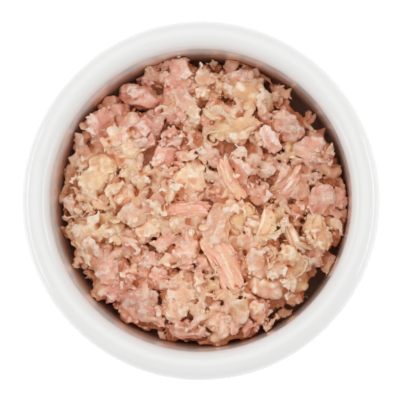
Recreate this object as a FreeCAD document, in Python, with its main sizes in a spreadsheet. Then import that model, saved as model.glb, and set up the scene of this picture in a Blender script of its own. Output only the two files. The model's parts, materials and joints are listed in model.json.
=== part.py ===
import FreeCAD, Part
import math
import os
import Sketcher
from FreeCAD import Rotation, Vector

# A thick round stoneware pet bowl with one tin's worth of shredded wet cat food.
# Millimetres, +Z up. The origin is at the middle of the ring that the bowl stands on.

SIZES = {
    # bowl
    "rim_diameter": 110,     # over the widest part of the rolled lip
    "lip_radius": 4.2,       # each side of the lip
    "lip_flat": 0.4,         # along the lip's top, between its two rounded sides
    "bowl_height": 44,
    "floor_level": 8,        # inside floor above the table
    "inner_draft": 7,        # degrees from upright
    "outer_draft": 8,
    "inner_corner": 14,      # radius where wall and floor meet
    "outer_corner": 9,
    "foot_inset": 2,         # from the outer corner's centre in to the foot ring
    "foot_width": 5,
    "foot_height": 1.8,
    "foot_slope": 0.7,       # how far the foot ring narrows on each side
    "foot_rounding": 0.5,
    # food as a whole
    "food_gap": 0.25,        # between food and glaze
    "nest_gap": 0.15,        # between one piece of food and the next
    "proud": 2.3,            # of a piece's top above the dome
    "proud_spread": 0.7,     # more or less than that, from piece to piece
    "steepest_lean": 32,     # degrees, of a piece that lies against the dome's side
    "headroom": 5.4,         # least depth from the lip's top to any food
    "crown_drop": 8.4,       # from the lip's top to the middle of the heap
    "edge_fall": 3.4,        # from the middle of the heap to its edge
    "edge_round": 2.2,       # extra fall where the heap meets the wall
    "clump_count": 120,
    "clump_height": 2.6,     # of the tallest clumps above the creases between them
    "clump_radius": 6.4,
    "clump_sink": 1.2,       # how far the creases lie below the dome
    "clump_clear": 1.5,      # clumps fade out over a piece, and this much wider
    "grid_step": 2.2,        # between the points that the heap's skin passes through
}

# Places where the heap stands off the wall: bearing and half width in degrees, then depth
# and reach in from the wall in millimetres.
HOLLOWS = [
    (43, 24, 9.0, 5.5),
    (94, 17, 5.0, 3.0),
    (137, 11, 8.0, 4.5),
    (170, 9, 4.0, 2.5),
    (199, 13, 7.5, 4.2),
    (229, 11, 8.0, 4.5),
    (252, 7, 7.0, 3.6),
    (318, 27, 9.5, 5.5),
]

# How each form is torn: fullness of its ends, lumpiness, number and depth of grooves,
# downward bow as a share of its length, and points in each outline.
FORMS = {
    "nugget": (2.3, 0.20, 0, 0, 0.00, 12),
    "slab": (2.9, 0.13, 0, 0, 0.07, 12),
    "flake": (2.0, 0.24, 0, 0, 0.10, 12),
    "strip": (3.4, 0.05, 7, 0.075, 0.05, 28),
}
STATIONS = 7

# Pieces big enough to pick out: form, bearing and reach (share of the food's radius),
# heading of the length, roll about the length, then length, width and thickness.
PIECES = {
    "jelly_lump": ("nugget", 70, 0.83, -12, 0, 17.0, 11.5, 8.5),
    "pink_tongue": ("slab", 96, 0.80, 24, 20, 15.0, 7.0, 6.0),
    "pink_block": ("slab", 120, 0.82, -8, 10, 15.0, 8.5, 7.5),
    "brown_nugget": ("nugget", 124, 0.64, 60, 0, 9.5, 8.0, 7.5),
    "upright_flake": ("flake", 82, 0.60, 72, 48, 11.5, 8.0, 3.4),
    "curved_slab": ("slab", 122, 0.42, 78, 25, 14.0, 6.5, 5.0),
    "cream_flake": ("flake", 141, 0.62, 20, -15, 10.5, 7.5, 4.2),
    "west_clump": ("nugget", 146, 0.82, 40, 0, 10.0, 8.5, 8.0),
    "cream_slab": ("slab", 164, 0.73, 76, 12, 14.5, 10.0, 6.0),
    "north_east_clump": ("nugget", 42, 0.76, -30, 0, 13.5, 10.0, 8.0),
    "crumb_cake": ("slab", 60, 0.56, 5, -8, 13.0, 8.0, 5.0),
    "grain_nugget": ("nugget", 24, 0.82, 75, 0, 10.5, 8.5, 8.0),
    "bent_flake": ("flake", 10, 0.60, 52, 30, 12.0, 8.0, 3.6),
    "east_nugget": ("nugget", 1, 0.80, 66, 0, 10.5, 8.0, 7.0),
    "east_chunk": ("slab", 344, 0.81, 100, -12, 12.0, 8.0, 7.0),
    "sliver": ("strip", 337, 0.66, 112, 0, 9.5, 3.6, 3.2),
    "pale_shard": ("slab", 340, 0.48, 80, 28, 10.5, 6.5, 4.2),
    "yellow_block": ("slab", 334, 0.27, 82, -10, 12.0, 7.5, 6.5),
    "slant_strip": ("strip", 36, 0.25, -58, 15, 14.0, 5.0, 4.2),
    "pale_nugget": ("nugget", 122, 0.17, 20, 0, 13.5, 10.5, 7.5),
    "pink_strip": ("strip", 208, 0.14, -12, 0, 14.5, 5.2, 4.0),
    "centre_nugget": ("nugget", 204, 0.40, 35, 0, 12.5, 10.0, 8.0),
    "centre_block": ("slab", 252, 0.35, 96, 14, 13.0, 8.5, 7.0),
    "fibre_strip": ("strip", 289, 0.41, -70, -14, 19.5, 9.5, 4.6),
    "amber_jelly": ("nugget", 196, 0.65, 0, 0, 8.5, 8.0, 6.5),
    "small_nugget": ("nugget", 176, 0.52, 80, 0, 8.5, 7.0, 6.0),
    "wall_flake": ("flake", 185, 0.84, -50, 22, 12.5, 7.0, 4.4),
    "south_west_clump": ("nugget", 214, 0.76, 115, 0, 14.0, 10.5, 8.0),
    "low_block": ("slab", 238, 0.79, 20, 10, 11.0, 8.5, 7.5),
    "south_clump": ("nugget", 257, 0.64, 30, 0, 16.0, 12.5, 8.5),
    "south_nugget": ("nugget", 264, 0.88, 4, 0, 12.0, 6.0, 6.5),
    "south_rim_slab": ("slab", 281, 0.84, 8, -18, 13.0, 7.0, 6.0),
    "long_slab": ("slab", 308, 0.73, 10, 12, 14.0, 8.5, 5.0),
    "slab_tongue": ("slab", 297, 0.84, -78, 16, 10.5, 7.5, 4.6),
    "cream_knob": ("nugget", 329, 0.70, 40, 0, 8.5, 7.0, 6.5),
    "yellow_nugget": ("nugget", 320, 0.84, -20, 0, 7.5, 6.5, 6.0),
}
PIECE_FIELDS = ("bearing", "reach", "heading", "roll", "length", "width", "thick")


def make_sheet(doc):
    """The spreadsheet that every feature reads its sizes from."""
    sheet = doc.addObject("Spreadsheet::Sheet", "sizes")
    rows = dict(SIZES)
    for name, piece in PIECES.items():
        for field, value in zip(PIECE_FIELDS, piece[1:]):
            rows[f"{name}_{field}"] = value
    for row, (alias, value) in enumerate(rows.items(), start=1):
        sheet.set(f"A{row}", alias)
        sheet.set(f"B{row}", str(value))
        sheet.setAlias(f"B{row}", alias)
    doc.recompute()
    return sheet


class Sizes:
    """Plain numbers read from the sheet, by alias."""

    def __init__(self, sheet):
        self.sheet = sheet

    def get(self, alias):
        return float(self.sheet.get(alias))

    def __getattr__(self, alias):
        return self.get(alias)


def on_line(point, angle, distance):
    """The point that lies a distance from another, in a direction in degrees."""
    turn = math.radians(angle)
    return Vector(point.x + distance * math.cos(turn), point.y + distance * math.sin(turn), 0)


def add_line(sketch, start, end):
    return sketch.addGeometry(Part.LineSegment(start, end), False)


def add_arc(sketch, centre, radius, first, last):
    """An arc that runs anticlockwise between two angles in degrees."""
    circle = Part.Circle(centre, Vector(0, 0, 1), radius)
    return sketch.addGeometry(Part.ArcOfCircle(circle, math.radians(first), math.radians(last)), False)


def bind(sketch, name, rule, *constraint):
    """Adds a named dimension and ties it to the sheet."""
    kind, *where = constraint
    value = sketch.Document.getObject("sizes").evalExpression(rule)
    index = sketch.addConstraint(Sketcher.Constraint(kind, *where, float(value)))
    sketch.renameConstraint(index, name)
    sketch.setExpression(f"Constraints.{name}", rule)


def origin_plane(body, role):
    return next(feature for feature in body.Origin.OriginFeatures if feature.Role == role)


def wall_guides(sizes):
    """Centres of the lip's two arcs and of the two bottom corners, in the section plane."""
    rim = sizes.rim_diameter / 2
    lip_level = sizes.bowl_height - sizes.lip_radius
    outer_lip = Vector(rim - sizes.lip_radius, lip_level, 0)
    inner_lip = Vector(outer_lip.x - sizes.lip_flat, lip_level, 0)
    slope_in = math.radians(sizes.inner_draft)
    slope_out = math.radians(sizes.outer_draft)
    inner_touch = on_line(inner_lip, 180 - sizes.inner_draft, sizes.lip_radius)
    outer_touch = on_line(outer_lip, -sizes.outer_draft, sizes.lip_radius)
    corner_level = sizes.floor_level + sizes.inner_corner
    run = sizes.inner_corner + (inner_touch.y - corner_level) * math.sin(slope_in)
    inner_corner = Vector(inner_touch.x - run / math.cos(slope_in), corner_level, 0)
    corner_level = sizes.foot_height + sizes.outer_corner
    run = sizes.outer_corner + (outer_touch.y - corner_level) * math.sin(slope_out)
    outer_corner = Vector(outer_touch.x - run / math.cos(slope_out), corner_level, 0)
    return inner_lip, outer_lip, inner_corner, outer_corner


def draw_bowl_section(sketch, sizes):
    """Half the bowl's section: inside, rolled lip, outside and foot ring."""
    inner_lip, outer_lip, inner_corner, outer_corner = wall_guides(sizes)
    lip = sizes.lip_radius
    inside = 180 - sizes.inner_draft
    outside = -sizes.outer_draft
    foot_out = outer_corner.x - sizes.foot_inset
    foot_in = foot_out - sizes.foot_width
    foot = sizes.foot_height
    floor = sizes.floor_level

    axis = add_line(sketch, Vector(0, foot, 0), Vector(0, floor, 0))
    bottom = add_line(sketch, Vector(0, floor, 0), Vector(inner_corner.x, floor, 0))
    hollow = add_arc(sketch, inner_corner, sizes.inner_corner, 270, 360 - sizes.inner_draft)
    inner_foot = on_line(inner_corner, -sizes.inner_draft, sizes.inner_corner)
    inner_wall = add_line(sketch, inner_foot, on_line(inner_lip, inside, lip))
    lip_in = add_arc(sketch, inner_lip, lip, 90, inside)
    top = add_line(sketch, on_line(inner_lip, 90, lip), on_line(outer_lip, 90, lip))
    lip_out = add_arc(sketch, outer_lip, lip, outside, 90)
    outer_foot = on_line(outer_corner, outside, sizes.outer_corner)
    outer_wall = add_line(sketch, outer_foot, on_line(outer_lip, outside, lip))
    heel = add_arc(sketch, outer_corner, sizes.outer_corner, 270, 360 - sizes.outer_draft)
    under = add_line(sketch, Vector(outer_corner.x, foot, 0), Vector(foot_out, foot, 0))
    ring_out = add_line(sketch, Vector(foot_out, foot, 0), Vector(foot_out - sizes.foot_slope, 0, 0))
    ring_face = add_line(sketch, Vector(foot_out - sizes.foot_slope, 0, 0),
                         Vector(foot_in + sizes.foot_slope, 0, 0))
    ring_in = add_line(sketch, Vector(foot_in + sizes.foot_slope, 0, 0), Vector(foot_in, foot, 0))
    recess = add_line(sketch, Vector(foot_in, foot, 0), Vector(0, foot, 0))

    for first, end, second, start in (
            (axis, 2, bottom, 1), (under, 2, ring_out, 1), (ring_out, 2, ring_face, 1),
            (ring_face, 2, ring_in, 1), (ring_in, 2, recess, 1), (recess, 2, axis, 1)):
        sketch.addConstraint(Sketcher.Constraint("Coincident", first, end, second, start))
    for first, end, second, start in (
            (bottom, 2, hollow, 1), (hollow, 2, inner_wall, 1), (inner_wall, 2, lip_in, 2),
            (lip_in, 1, top, 1), (top, 2, lip_out, 2), (lip_out, 1, outer_wall, 2),
            (outer_wall, 1, heel, 2), (heel, 1, under, 1)):
        sketch.addConstraint(Sketcher.Constraint("Tangent", first, end, second, start))
    sketch.addConstraint(Sketcher.Constraint("PointOnObject", axis, 1, -2))
    sketch.addConstraint(Sketcher.Constraint("PointOnObject", axis, 2, -2))
    sketch.addConstraint(Sketcher.Constraint("PointOnObject", ring_face, 1, -1))
    for level in (bottom, top, under, ring_face, recess):
        sketch.addConstraint(Sketcher.Constraint("Horizontal", level))

    bind(sketch, "floor_level", "sizes.floor_level", "DistanceY", -1, 1, bottom, 1)
    bind(sketch, "height", "sizes.bowl_height", "DistanceY", -1, 1, top, 1)
    bind(sketch, "lip_in", "sizes.lip_radius", "Radius", lip_in)
    bind(sketch, "lip_out", "sizes.lip_radius", "Radius", lip_out)
    bind(sketch, "rim", "sizes.rim_diameter / 2 - sizes.lip_radius", "DistanceX", -1, 1, lip_out, 3)
    bind(sketch, "lip_flat", "sizes.lip_flat", "DistanceX", lip_in, 3, lip_out, 3)
    bind(sketch, "inner_corner", "sizes.inner_corner", "Radius", hollow)
    bind(sketch, "outer_corner", "sizes.outer_corner", "Radius", heel)
    bind(sketch, "inner_rise", "(90 - sizes.inner_draft) * 1deg", "Angle", inner_wall)
    bind(sketch, "outer_rise", "(90 - sizes.outer_draft) * 1deg", "Angle", outer_wall)
    bind(sketch, "foot_height", "sizes.foot_height", "DistanceY", -1, 1, recess, 1)
    bind(sketch, "under_level", "sizes.foot_height", "DistanceY", -1, 1, under, 2)
    bind(sketch, "foot_inset", "sizes.foot_inset", "DistanceX", under, 2, heel, 3)
    bind(sketch, "foot_width", "sizes.foot_width", "DistanceX", recess, 1, under, 2)
    bind(sketch, "slope_out", "sizes.foot_slope", "DistanceX", ring_face, 1, under, 2)
    bind(sketch, "slope_in", "sizes.foot_slope", "DistanceX", recess, 1, ring_face, 2)


def make_bowl(doc, sizes):
    """The bowl, turned in one piece, with the edges of its foot ring eased."""
    body = doc.addObject("PartDesign::Body", "bowl")
    sketch = body.newObject("Sketcher::SketchObject", "bowl_section")
    sketch.AttachmentSupport = [(origin_plane(body, "XZ_Plane"), "")]
    sketch.MapMode = "FlatFace"
    draw_bowl_section(sketch, sizes)
    doc.recompute()
    turned = body.newObject("PartDesign::Revolution", "bowl_turned")
    turned.Profile = sketch
    turned.ReferenceAxis = (sketch, ["V_Axis"])
    turned.Angle = 360
    doc.recompute()
    eased = body.newObject("PartDesign::Fillet", "foot_eased")
    ring = [f"Edge{index}" for index, edge in enumerate(turned.Shape.Edges, start=1)
            if edge.BoundBox.ZMax < sizes.foot_height / 2]
    eased.Base = (turned, ring)
    eased.setExpression("Radius", "sizes.foot_rounding")
    doc.recompute()
    return body


def food_radius(sizes, level):
    """How far the food may reach from the axis at a level on the straight wall."""
    slope = math.radians(sizes.inner_draft)
    centre = sizes.rim_diameter / 2 - sizes.lip_radius - sizes.lip_flat
    top = centre - (sizes.lip_radius + sizes.food_gap) / math.cos(slope)
    return top - (sizes.bowl_height - sizes.lip_radius - level) * math.tan(slope)


def make_room(doc, sizes):
    """The space that food may fill: the bowl's inside, less the gap to the glaze."""
    sketch = doc.addObject("Sketcher::SketchObject", "room_section")
    sketch.Placement = FreeCAD.Placement(Vector(0, 0, 0), Rotation(Vector(1, 0, 0), 90))
    centre = wall_guides(sizes)[2]
    corner = sizes.inner_corner - sizes.food_gap
    floor = sizes.floor_level + sizes.food_gap
    lid = sizes.bowl_height - sizes.lip_radius
    wall_top = Vector(food_radius(sizes, lid), lid, 0)

    axis = add_line(sketch, Vector(0, lid, 0), Vector(0, floor, 0))
    bottom = add_line(sketch, Vector(0, floor, 0), Vector(centre.x, floor, 0))
    hollow = add_arc(sketch, centre, corner, 270, 360 - sizes.inner_draft)
    wall = add_line(sketch, on_line(centre, -sizes.inner_draft, corner), wall_top)
    top = add_line(sketch, wall_top, Vector(0, lid, 0))
    for first, second in ((axis, bottom), (wall, top), (top, axis)):
        sketch.addConstraint(Sketcher.Constraint("Coincident", first, 2, second, 1))
    sketch.addConstraint(Sketcher.Constraint("Tangent", bottom, 2, hollow, 1))
    sketch.addConstraint(Sketcher.Constraint("Tangent", hollow, 2, wall, 1))
    sketch.addConstraint(Sketcher.Constraint("PointOnObject", axis, 1, -2))
    sketch.addConstraint(Sketcher.Constraint("PointOnObject", axis, 2, -2))
    sketch.addConstraint(Sketcher.Constraint("Horizontal", bottom))
    sketch.addConstraint(Sketcher.Constraint("Horizontal", top))
    bind(sketch, "floor", "sizes.floor_level + sizes.food_gap", "DistanceY", -1, 1, axis, 2)
    bind(sketch, "corner", "sizes.inner_corner - sizes.food_gap", "Radius", hollow)
    bind(sketch, "rise", "(90 - sizes.inner_draft) * 1deg", "Angle", wall)
    bind(sketch, "lid", "sizes.bowl_height - sizes.lip_radius", "DistanceY", -1, 1, wall, 2)
    bind(sketch, "reach", "sizes.rim_diameter / 2 - sizes.lip_radius - sizes.lip_flat"
         " - (sizes.lip_radius + sizes.food_gap) / cos(sizes.inner_draft * 1deg)",
         "DistanceX", -1, 1, wall, 2)

    room = doc.addObject("Part::Revolution", "room")
    room.Source = sketch
    room.Axis = Vector(0, 0, 1)
    room.Base = Vector(0, 0, 0)
    room.Angle = 360
    room.Solid = True
    doc.recompute()
    return room


def scatter(seed, step):
    """A repeatable uneven value from -1 to 1."""
    wave = math.sin(seed * 12.9898 + step * 78.233) * 43758.5453
    return 2 * (wave - math.floor(wave)) - 1


def swell(distance):
    """A smooth bump: 1 in the middle and 0 at a distance of 1 or more."""
    if distance >= 1:
        return 0
    return (1 - distance * distance) ** 2


def crown_level(sizes, x, y):
    """Level of the heap before its clumps: a low dome that falls away along the wall."""
    level = sizes.bowl_height - sizes.crown_drop
    edge = food_radius(sizes, level)
    radius = math.hypot(x, y)
    share = min(radius / edge, 1)
    level -= sizes.edge_fall * share ** 2.4 + sizes.edge_round * share ** 12
    bearing = math.degrees(math.atan2(y, x)) % 360
    for middle, half_width, depth, reach in HOLLOWS:
        off = abs((bearing - middle + 180) % 360 - 180) / (1.6 * half_width)
        inward = max(edge - radius, 0) / (1.5 * reach)
        level -= depth * swell(off) * swell(inward)
    return level


def clumps(sizes):
    """Centres, heights and radii of the clumps, spread like seeds in a sunflower."""
    edge = food_radius(sizes, sizes.bowl_height - sizes.crown_drop)
    golden = math.pi * (3 - math.sqrt(5))
    spots = []
    for index in range(int(sizes.clump_count)):
        radius = edge * math.sqrt((index + 0.5) / sizes.clump_count)
        turn = index * golden + 0.5 * scatter(index, 1)
        height = sizes.clump_height * (0.8 + 0.2 * scatter(index, 2))
        size = sizes.clump_radius * (1 + 0.3 * scatter(index, 3))
        spots.append((radius * math.cos(turn), radius * math.sin(turn), height, size))
    return spots


def piece_spot(sizes, name):
    """Where the middle of a piece lies, seen from above."""
    bearing = math.radians(sizes.get(f"{name}_bearing"))
    level = sizes.bowl_height - sizes.crown_drop
    radius = sizes.get(f"{name}_reach") * food_radius(sizes, level)
    return radius * math.cos(bearing), radius * math.sin(bearing)


def footprints(sizes):
    """Each piece's middle, heading and half sizes, for pressing the clumps down under it."""
    prints = []
    for name in PIECES:
        heading = math.radians(sizes.get(f"{name}_heading"))
        prints.append((*piece_spot(sizes, name), math.cos(heading), math.sin(heading),
                       sizes.clump_clear * sizes.get(f"{name}_length") / 2,
                       sizes.clump_clear * sizes.get(f"{name}_width") / 2))
    return prints


def heap_block(sizes):
    """A block whose top is the heap's uneven skin, taller than the food is deep."""
    half = sizes.rim_diameter / 2
    count = round(2 * half / sizes.grid_step)
    spots = clumps(sizes)
    prints = footprints(sizes)
    ceiling = sizes.bowl_height - sizes.headroom
    rows = []
    for row in range(count + 1):
        y = -half + 2 * half * row / count
        line = []
        for column in range(count + 1):
            x = -half + 2 * half * column / count
            rise = max(height * swell(math.hypot(x - spot_x, y - spot_y) / size)
                       for spot_x, spot_y, height, size in spots) - sizes.clump_sink
            for spot_x, spot_y, cosine, sine, long_half, wide_half in prints:
                along = ((x - spot_x) * cosine + (y - spot_y) * sine) / long_half
                across = ((y - spot_y) * cosine - (x - spot_x) * sine) / wide_half
                rise *= 1 - swell(math.hypot(along, across))
            line.append(Vector(x, y, min(crown_level(sizes, x, y) + rise, ceiling)))
        rows.append(line)
    skin = Part.BSplineSurface()
    skin.interpolate(rows)
    return skin.toShape().extrude(Vector(0, 0, -sizes.bowl_height))


def torn_solid(form, seed, length, width, thick, grow=0):
    """A torn piece of meat lofted along X through uneven outlines."""
    fullness, lumps, grooves, groove_depth, bow, points = FORMS[form]
    wires = []
    for station in range(STATIONS):
        share = -1 + 2 * station / (STATIONS - 1)
        girth = (1 - abs(0.93 * share) ** fullness) ** (1 / fullness)
        x = share * (length / 2 + grow)
        sway = 0.07 * length * math.sin(2 * share + math.pi * scatter(seed, 20))
        sink = bow * length * share ** 2
        outline = []
        for point in range(points):
            angle = 2 * math.pi * point / points
            swell_out = 1 + groove_depth * math.cos(grooves * angle) * (grooves > 0)
            for wave in (2, 3, 4):
                phase = math.pi * scatter(seed, wave) + 1.3 * share * scatter(seed, 7 + wave)
                swell_out += lumps / (wave - 1) * math.sin(wave * angle + phase)
            y = width / 2 * girth * swell_out * math.cos(angle)
            z = thick / 2 * girth * swell_out * math.sin(angle)
            stretch = 1 + grow / max(math.hypot(y, z), grow)
            outline.append(Vector(x, y * stretch + sway, z * stretch - sink))
        curve = Part.BSplineCurve()
        curve.interpolate(Points=outline, PeriodicFlag=True)
        wires.append(Part.Wire(curve.toShape()))
    return Part.makeLoft(wires, True, False)


def lay_piece(doc, sizes, name):
    """A piece half sunk in the heap, leaning with the dome, and the tool for its socket."""
    seed = list(PIECES).index(name) + 1
    length, width, thick = (sizes.get(f"{name}_{field}") for field in PIECE_FIELDS[-3:])
    piece = doc.addObject("Part::Feature", f"{name}_torn")
    piece.Shape = torn_solid(PIECES[name][0], seed, length, width, thick)
    socket = doc.addObject("Part::Feature", f"{name}_socket")
    socket.Shape = torn_solid(PIECES[name][0], seed, length, width, thick, sizes.nest_gap)

    x, y = piece_spot(sizes, name)
    bearing = math.degrees(math.atan2(y, x))
    inner_level = crown_level(sizes, 0.93 * x, 0.93 * y)
    outer_level = crown_level(sizes, 1.05 * x, 1.05 * y)
    run = 0.12 * math.hypot(x, y)
    lean = min(math.degrees(math.atan2(inner_level - outer_level, run)), sizes.steepest_lean)
    outward = Rotation(on_line(Vector(0, 0, 0), bearing + 90, 1), lean)
    turned = Rotation(Vector(0, 0, 1), sizes.get(f"{name}_heading"))
    rolled = Rotation(Vector(1, 0, 0), sizes.get(f"{name}_roll"))
    place = FreeCAD.Placement(Vector(x, y, 0), outward * turned * rolled)
    piece.Placement = place
    proud = sizes.proud + sizes.proud_spread * scatter(seed, 30)
    top = (inner_level + outer_level) / 2 + proud
    place.Base.z = top - piece.Shape.optimalBoundingBox(False).ZMax
    piece.Placement = place
    socket.Placement = place
    return piece, socket


def trim_piece(doc, name, piece, room, earlier):
    """Trims a piece by the bowl's wall and by the sockets of the pieces laid before it."""
    if piece.Shape.copy().cut(room.Shape.copy()).Volume > 0:
        inside = doc.addObject("Part::Common", f"{name}_inside")
        inside.Base = piece
        inside.Tool = room
        doc.recompute()
        piece = inside
    for socket in earlier:
        if not piece.Shape.BoundBox.intersect(socket.Shape.BoundBox):
            continue
        if piece.Shape.copy().common(socket.Shape.copy()).Volume > 0:
            trimmed = doc.addObject("Part::Cut", f"{name}_trimmed")
            trimmed.Base = piece
            trimmed.Tool = socket
            doc.recompute()
            piece = trimmed
    piece.Label = name
    return piece


def make_heap(doc, sizes, room, sockets):
    """The heap that fills the bowl under its uneven skin, with a socket cut for each piece."""
    shape = heap_block(sizes).common(room.Shape.copy())
    for socket in sockets:
        shape = shape.cut(socket.Shape.copy())
    heap = doc.addObject("Part::Feature", "meat_heap")
    heap.Shape = shape
    return heap


def check(doc, nodes):
    """Stops before anything is written if a feature failed or a node isn't one sound solid."""
    for feature in doc.Objects:
        if {"Invalid", "Error"} & set(feature.State):
            raise RuntimeError(f"{feature.Label} failed: {feature.State}")
    for node in nodes:
        if node.Shape.isNull() or not node.Shape.isValid() or len(node.Shape.Solids) != 1:
            raise RuntimeError(f"{node.Label} is not one sound solid")


def main():
    doc = FreeCAD.newDocument("pet_bowl")
    sizes = Sizes(make_sheet(doc))
    room = make_room(doc, sizes)
    laid = [lay_piece(doc, sizes, name) for name in PIECES]
    sockets = [socket for piece, socket in laid]
    nodes = [make_bowl(doc, sizes), make_heap(doc, sizes, room, sockets)]
    for count, (name, (piece, socket)) in enumerate(zip(PIECES, laid)):
        nodes.append(trim_piece(doc, name, piece, room, sockets[:count]))
    doc.recompute()
    check(doc, nodes)
    os.makedirs("parts", exist_ok=True)
    for node in nodes:
        node.Shape.exportStep(f"parts/{node.Label}.step")
        print(f"{node.Label}: {node.Shape.Volume / 1000:.2f} cm3")


main()
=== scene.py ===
from functools import partialmethod
import json
import math

import bmesh
import bpy
import numpy as np
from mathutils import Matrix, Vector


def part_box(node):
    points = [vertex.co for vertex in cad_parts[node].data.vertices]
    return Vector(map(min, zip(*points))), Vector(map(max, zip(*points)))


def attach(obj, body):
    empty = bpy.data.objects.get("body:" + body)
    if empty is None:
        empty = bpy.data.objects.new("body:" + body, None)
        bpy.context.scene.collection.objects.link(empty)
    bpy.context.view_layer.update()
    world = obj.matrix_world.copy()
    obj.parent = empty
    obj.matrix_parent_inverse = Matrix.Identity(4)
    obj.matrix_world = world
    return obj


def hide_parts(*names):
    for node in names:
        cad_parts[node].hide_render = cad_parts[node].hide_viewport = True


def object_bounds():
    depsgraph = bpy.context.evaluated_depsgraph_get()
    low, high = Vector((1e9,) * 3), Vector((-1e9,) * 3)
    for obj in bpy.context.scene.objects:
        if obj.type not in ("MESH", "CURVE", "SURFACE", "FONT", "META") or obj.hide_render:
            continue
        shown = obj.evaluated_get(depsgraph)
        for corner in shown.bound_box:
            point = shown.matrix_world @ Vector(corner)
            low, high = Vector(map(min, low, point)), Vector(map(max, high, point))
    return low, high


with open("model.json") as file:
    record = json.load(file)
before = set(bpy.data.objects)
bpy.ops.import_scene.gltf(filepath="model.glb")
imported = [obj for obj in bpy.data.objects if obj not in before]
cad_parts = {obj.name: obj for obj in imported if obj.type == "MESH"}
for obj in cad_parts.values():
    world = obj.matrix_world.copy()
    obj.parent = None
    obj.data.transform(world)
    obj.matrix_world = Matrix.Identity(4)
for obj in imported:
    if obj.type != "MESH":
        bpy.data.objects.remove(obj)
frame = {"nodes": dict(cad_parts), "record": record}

import openvdb
from mathutils import Matrix, Vector

# A thick white stoneware pet bowl full of moist, torn wet cat food, seen from above.
# Sculpting is done in millimetres; the finished meshes are in metres, as the frame is.

cadLow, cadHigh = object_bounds()
mm = 0.001

view = {
    "distance": 0.70,     # from the lip's widest level to the camera
    "lean": 5.5,          # degrees off straight down
    "side": -31,          # bearing towards which the camera is moved
    "span": 0.1222,       # metres across the picture at the lip's widest level
    "lipDrop": 0.0042,    # from the bowl's top down to that level
}

# The food as a whole, in millimetres unless it says otherwise
sculpt = {
    "coreStep": 0.42,     # between samples of the mince
    "pieceStep": 0.36,    # between samples of a named piece
    "bitStep": 0.4,       # between samples of a loose bit
    "merge": 0.12,        # of flat faces, from 0 to 1
    "coreMerge": 0.2,     # the same in the mince
    "mostFaces": 190000,  # that one piece may have
    "coreLeast": 3000,    # that a part of the mince has to have
    "pieceLeast": 24,
    "bitLeast": 40,
    "band": 3.2,          # worked on each side of a surface
    "coreSink": 2.3,      # of the mince under the heap's outline
    "coreDepth": 12,      # of the mince that is modelled, below the top of the food
    "fillWidth": 2.1,     # of crevices that are filled
    "fillSink": 0.85,     # of that filling
    "fillDepth": 3.4,     # where hollows end
    "namedSink": 1.8,     # of the mince in a named piece
    "chips": 14,          # torn off each named piece
    "chipReach": (0.66, 0.95),    # how far out they lie
    "wallGap": 0.3,       # that the food keeps from the glaze
    "heapGap": 0.25,      # that the CAD heap keeps from it
    "mapStep": 0.5,       # between samples of the map of the food's top
}

# Lumps in the mince. Each kind: its share, half length, the other half sizes as shares of that,
# and how far it may tilt in degrees
lumps = {
    "count": 400,
    "kinds": [
        (0.42, (1.6, 4.0), (0.55, 0.95), (0.45, 0.8), 180),
        (0.43, (2.2, 5.0), (0.55, 0.9), (0.25, 0.4), 45),
        (0.15, (3.0, 5.4), (0.28, 0.4), (0.24, 0.34), 30),
    ],
    "rise": (-1.0, 0.7),      # of the middle over the core's top
    "fromWall": 2.4,          # that a lump's middle keeps from the wall
    "fromNamed": 0.25,        # the same for a named piece
    "bend": (1.9, 0.55),      # of the lumps: width and depth
    "skin": ((3.0, 1.2, 1.2), 0.45),    # grain and roughness
    "blend": 0.6,             # width of the fillet where they meet
}

# Torn skins: how near the surface each is worked, then sizes and depths. Crumbs and tears of the
# first two go deeper by the third number in crumbly patches, which have a size and limits
skins = {
    "mince": {
        "band": 2.2, "swirl": (1.3, 0.4), "crumbs": (2.3, 0.2, 0.75), "tears": (2.0, 0.55, 0.45),
        "folds": (3.1, 0.8), "patches": (5.5, -0.35, 0.45), "waves": (3.2, 0.6),
    },
    "grainy": {
        "band": 2.4, "swirl": (1.5, 0.5), "crumbs": (2.2, 0.3, 0.8), "tears": (1.9, 0.6, 0.45),
        "folds": (3.0, 0.9), "patches": (4.5, -0.4, 0.4), "waves": (3.2, 0.9),
    },
    "smooth": {
        "band": 2.4, "cracks": (3.6, 0.6), "crumbs": (1.15, 0.35), "tears": (1.7, 1.1),
        "folds": (3.6, 0.7), "patches": (3.2, -0.2, 0.4), "waves": (3.4, 0.9),
        "ripples": (0.9, 0.12),
    },
    "fibrous": {
        "band": 2.6, "bend": (5.0, 0.5), "strands": ((9.0, 1.15, 1.15), 1.0),
        "threads": ((6.0, 0.6, 0.6), 0.45), "frayed": ((14.0, 0.95, 0.95), 1.6),
        "waves": (4.0, 0.3),
    },
    "jelly": {"band": 2.6, "swirl": (3.0, 1.0), "lobes": (3.4, 0.62), "ripples": (1.1, 0.18)},
}

# Loose bits over the mince: how many, half length, the other half sizes as shares of it, how
# deep they sit as a share of their thickness, tilt in degrees, how many of them may lie over a
# named piece, and how much pinker, fattier and lighter they are
looseBits = {
    "pinkBits": {
        "count": 32, "length": (2.0, 5.2), "width": (0.6, 0.85), "thick": (0.4, 0.6),
        "sunk": 0.45, "tilt": 35, "over": 0.0, "slot": "pink_meat",
        "pink": (-0.05, 0.4), "fat": (-0.1, 0.1), "light": (-0.06, 0.05),
    },
    "paleBits": {
        "count": 28, "length": (2.2, 5.4), "width": (0.5, 0.8), "thick": (0.26, 0.4),
        "sunk": 0.3, "tilt": 32, "over": 0.02, "slot": "pale_meat",
        "pink": (-0.4, 0.0), "fat": (-0.1, 0.2), "light": (0.0, 0.09),
    },
}

# All of them: forms to choose from, half widths over which the ground and its slope are evened,
# how many between two looks at the ground, then limits on where and how large
laying = {
    "forms": 12, "ground": 0.8, "slope": 2.0, "atOnce": 12,
    "fromWall": 1.8, "overHeap": 1.3, "size": (0.8, 1.15),
}

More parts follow.
